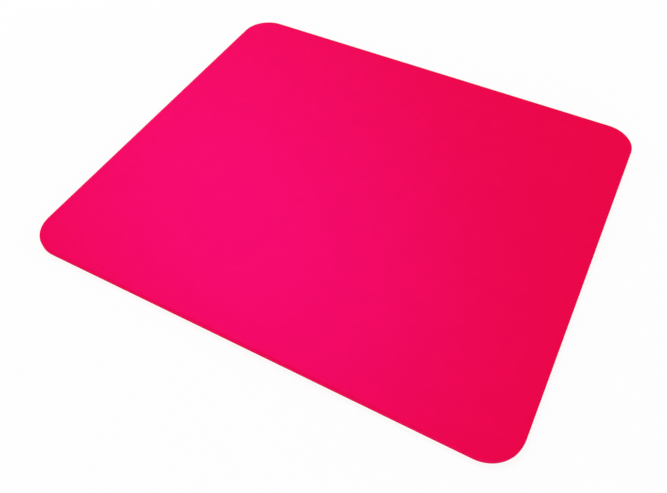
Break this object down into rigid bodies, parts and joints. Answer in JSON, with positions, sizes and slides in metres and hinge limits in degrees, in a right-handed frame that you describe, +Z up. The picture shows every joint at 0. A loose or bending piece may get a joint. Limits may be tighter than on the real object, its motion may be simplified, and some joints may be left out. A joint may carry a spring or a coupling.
{
  "type": "mouse pad",
  "caption": "Thin flat rectangular desk pad with rounded corners, a soft knit face for a pointing device and a grooved sponge-rubber base that grips the desk.",
  "frame": {"origin": "centre of the underside, on the plane of the desk", "axes": "+X along the long sides, +Y along the short sides, +Z up out of the cloth face"},
  "size_m": [0.23, 0.2, 0.003],
  "materials": {
    "sponge_rubber": "matte fine-celled sponge, dyed through",
    "melt_film": "thin hot-melt film, tinted by the dye",
    "knit_cloth": "matte fine knit with a soft sheen"
  },
  "bodies": {
    "root": {"sponge_base": "sponge_rubber", "adhesive_film": "melt_film", "cloth_top": "knit_cloth"}
  },
  "joints": []
}
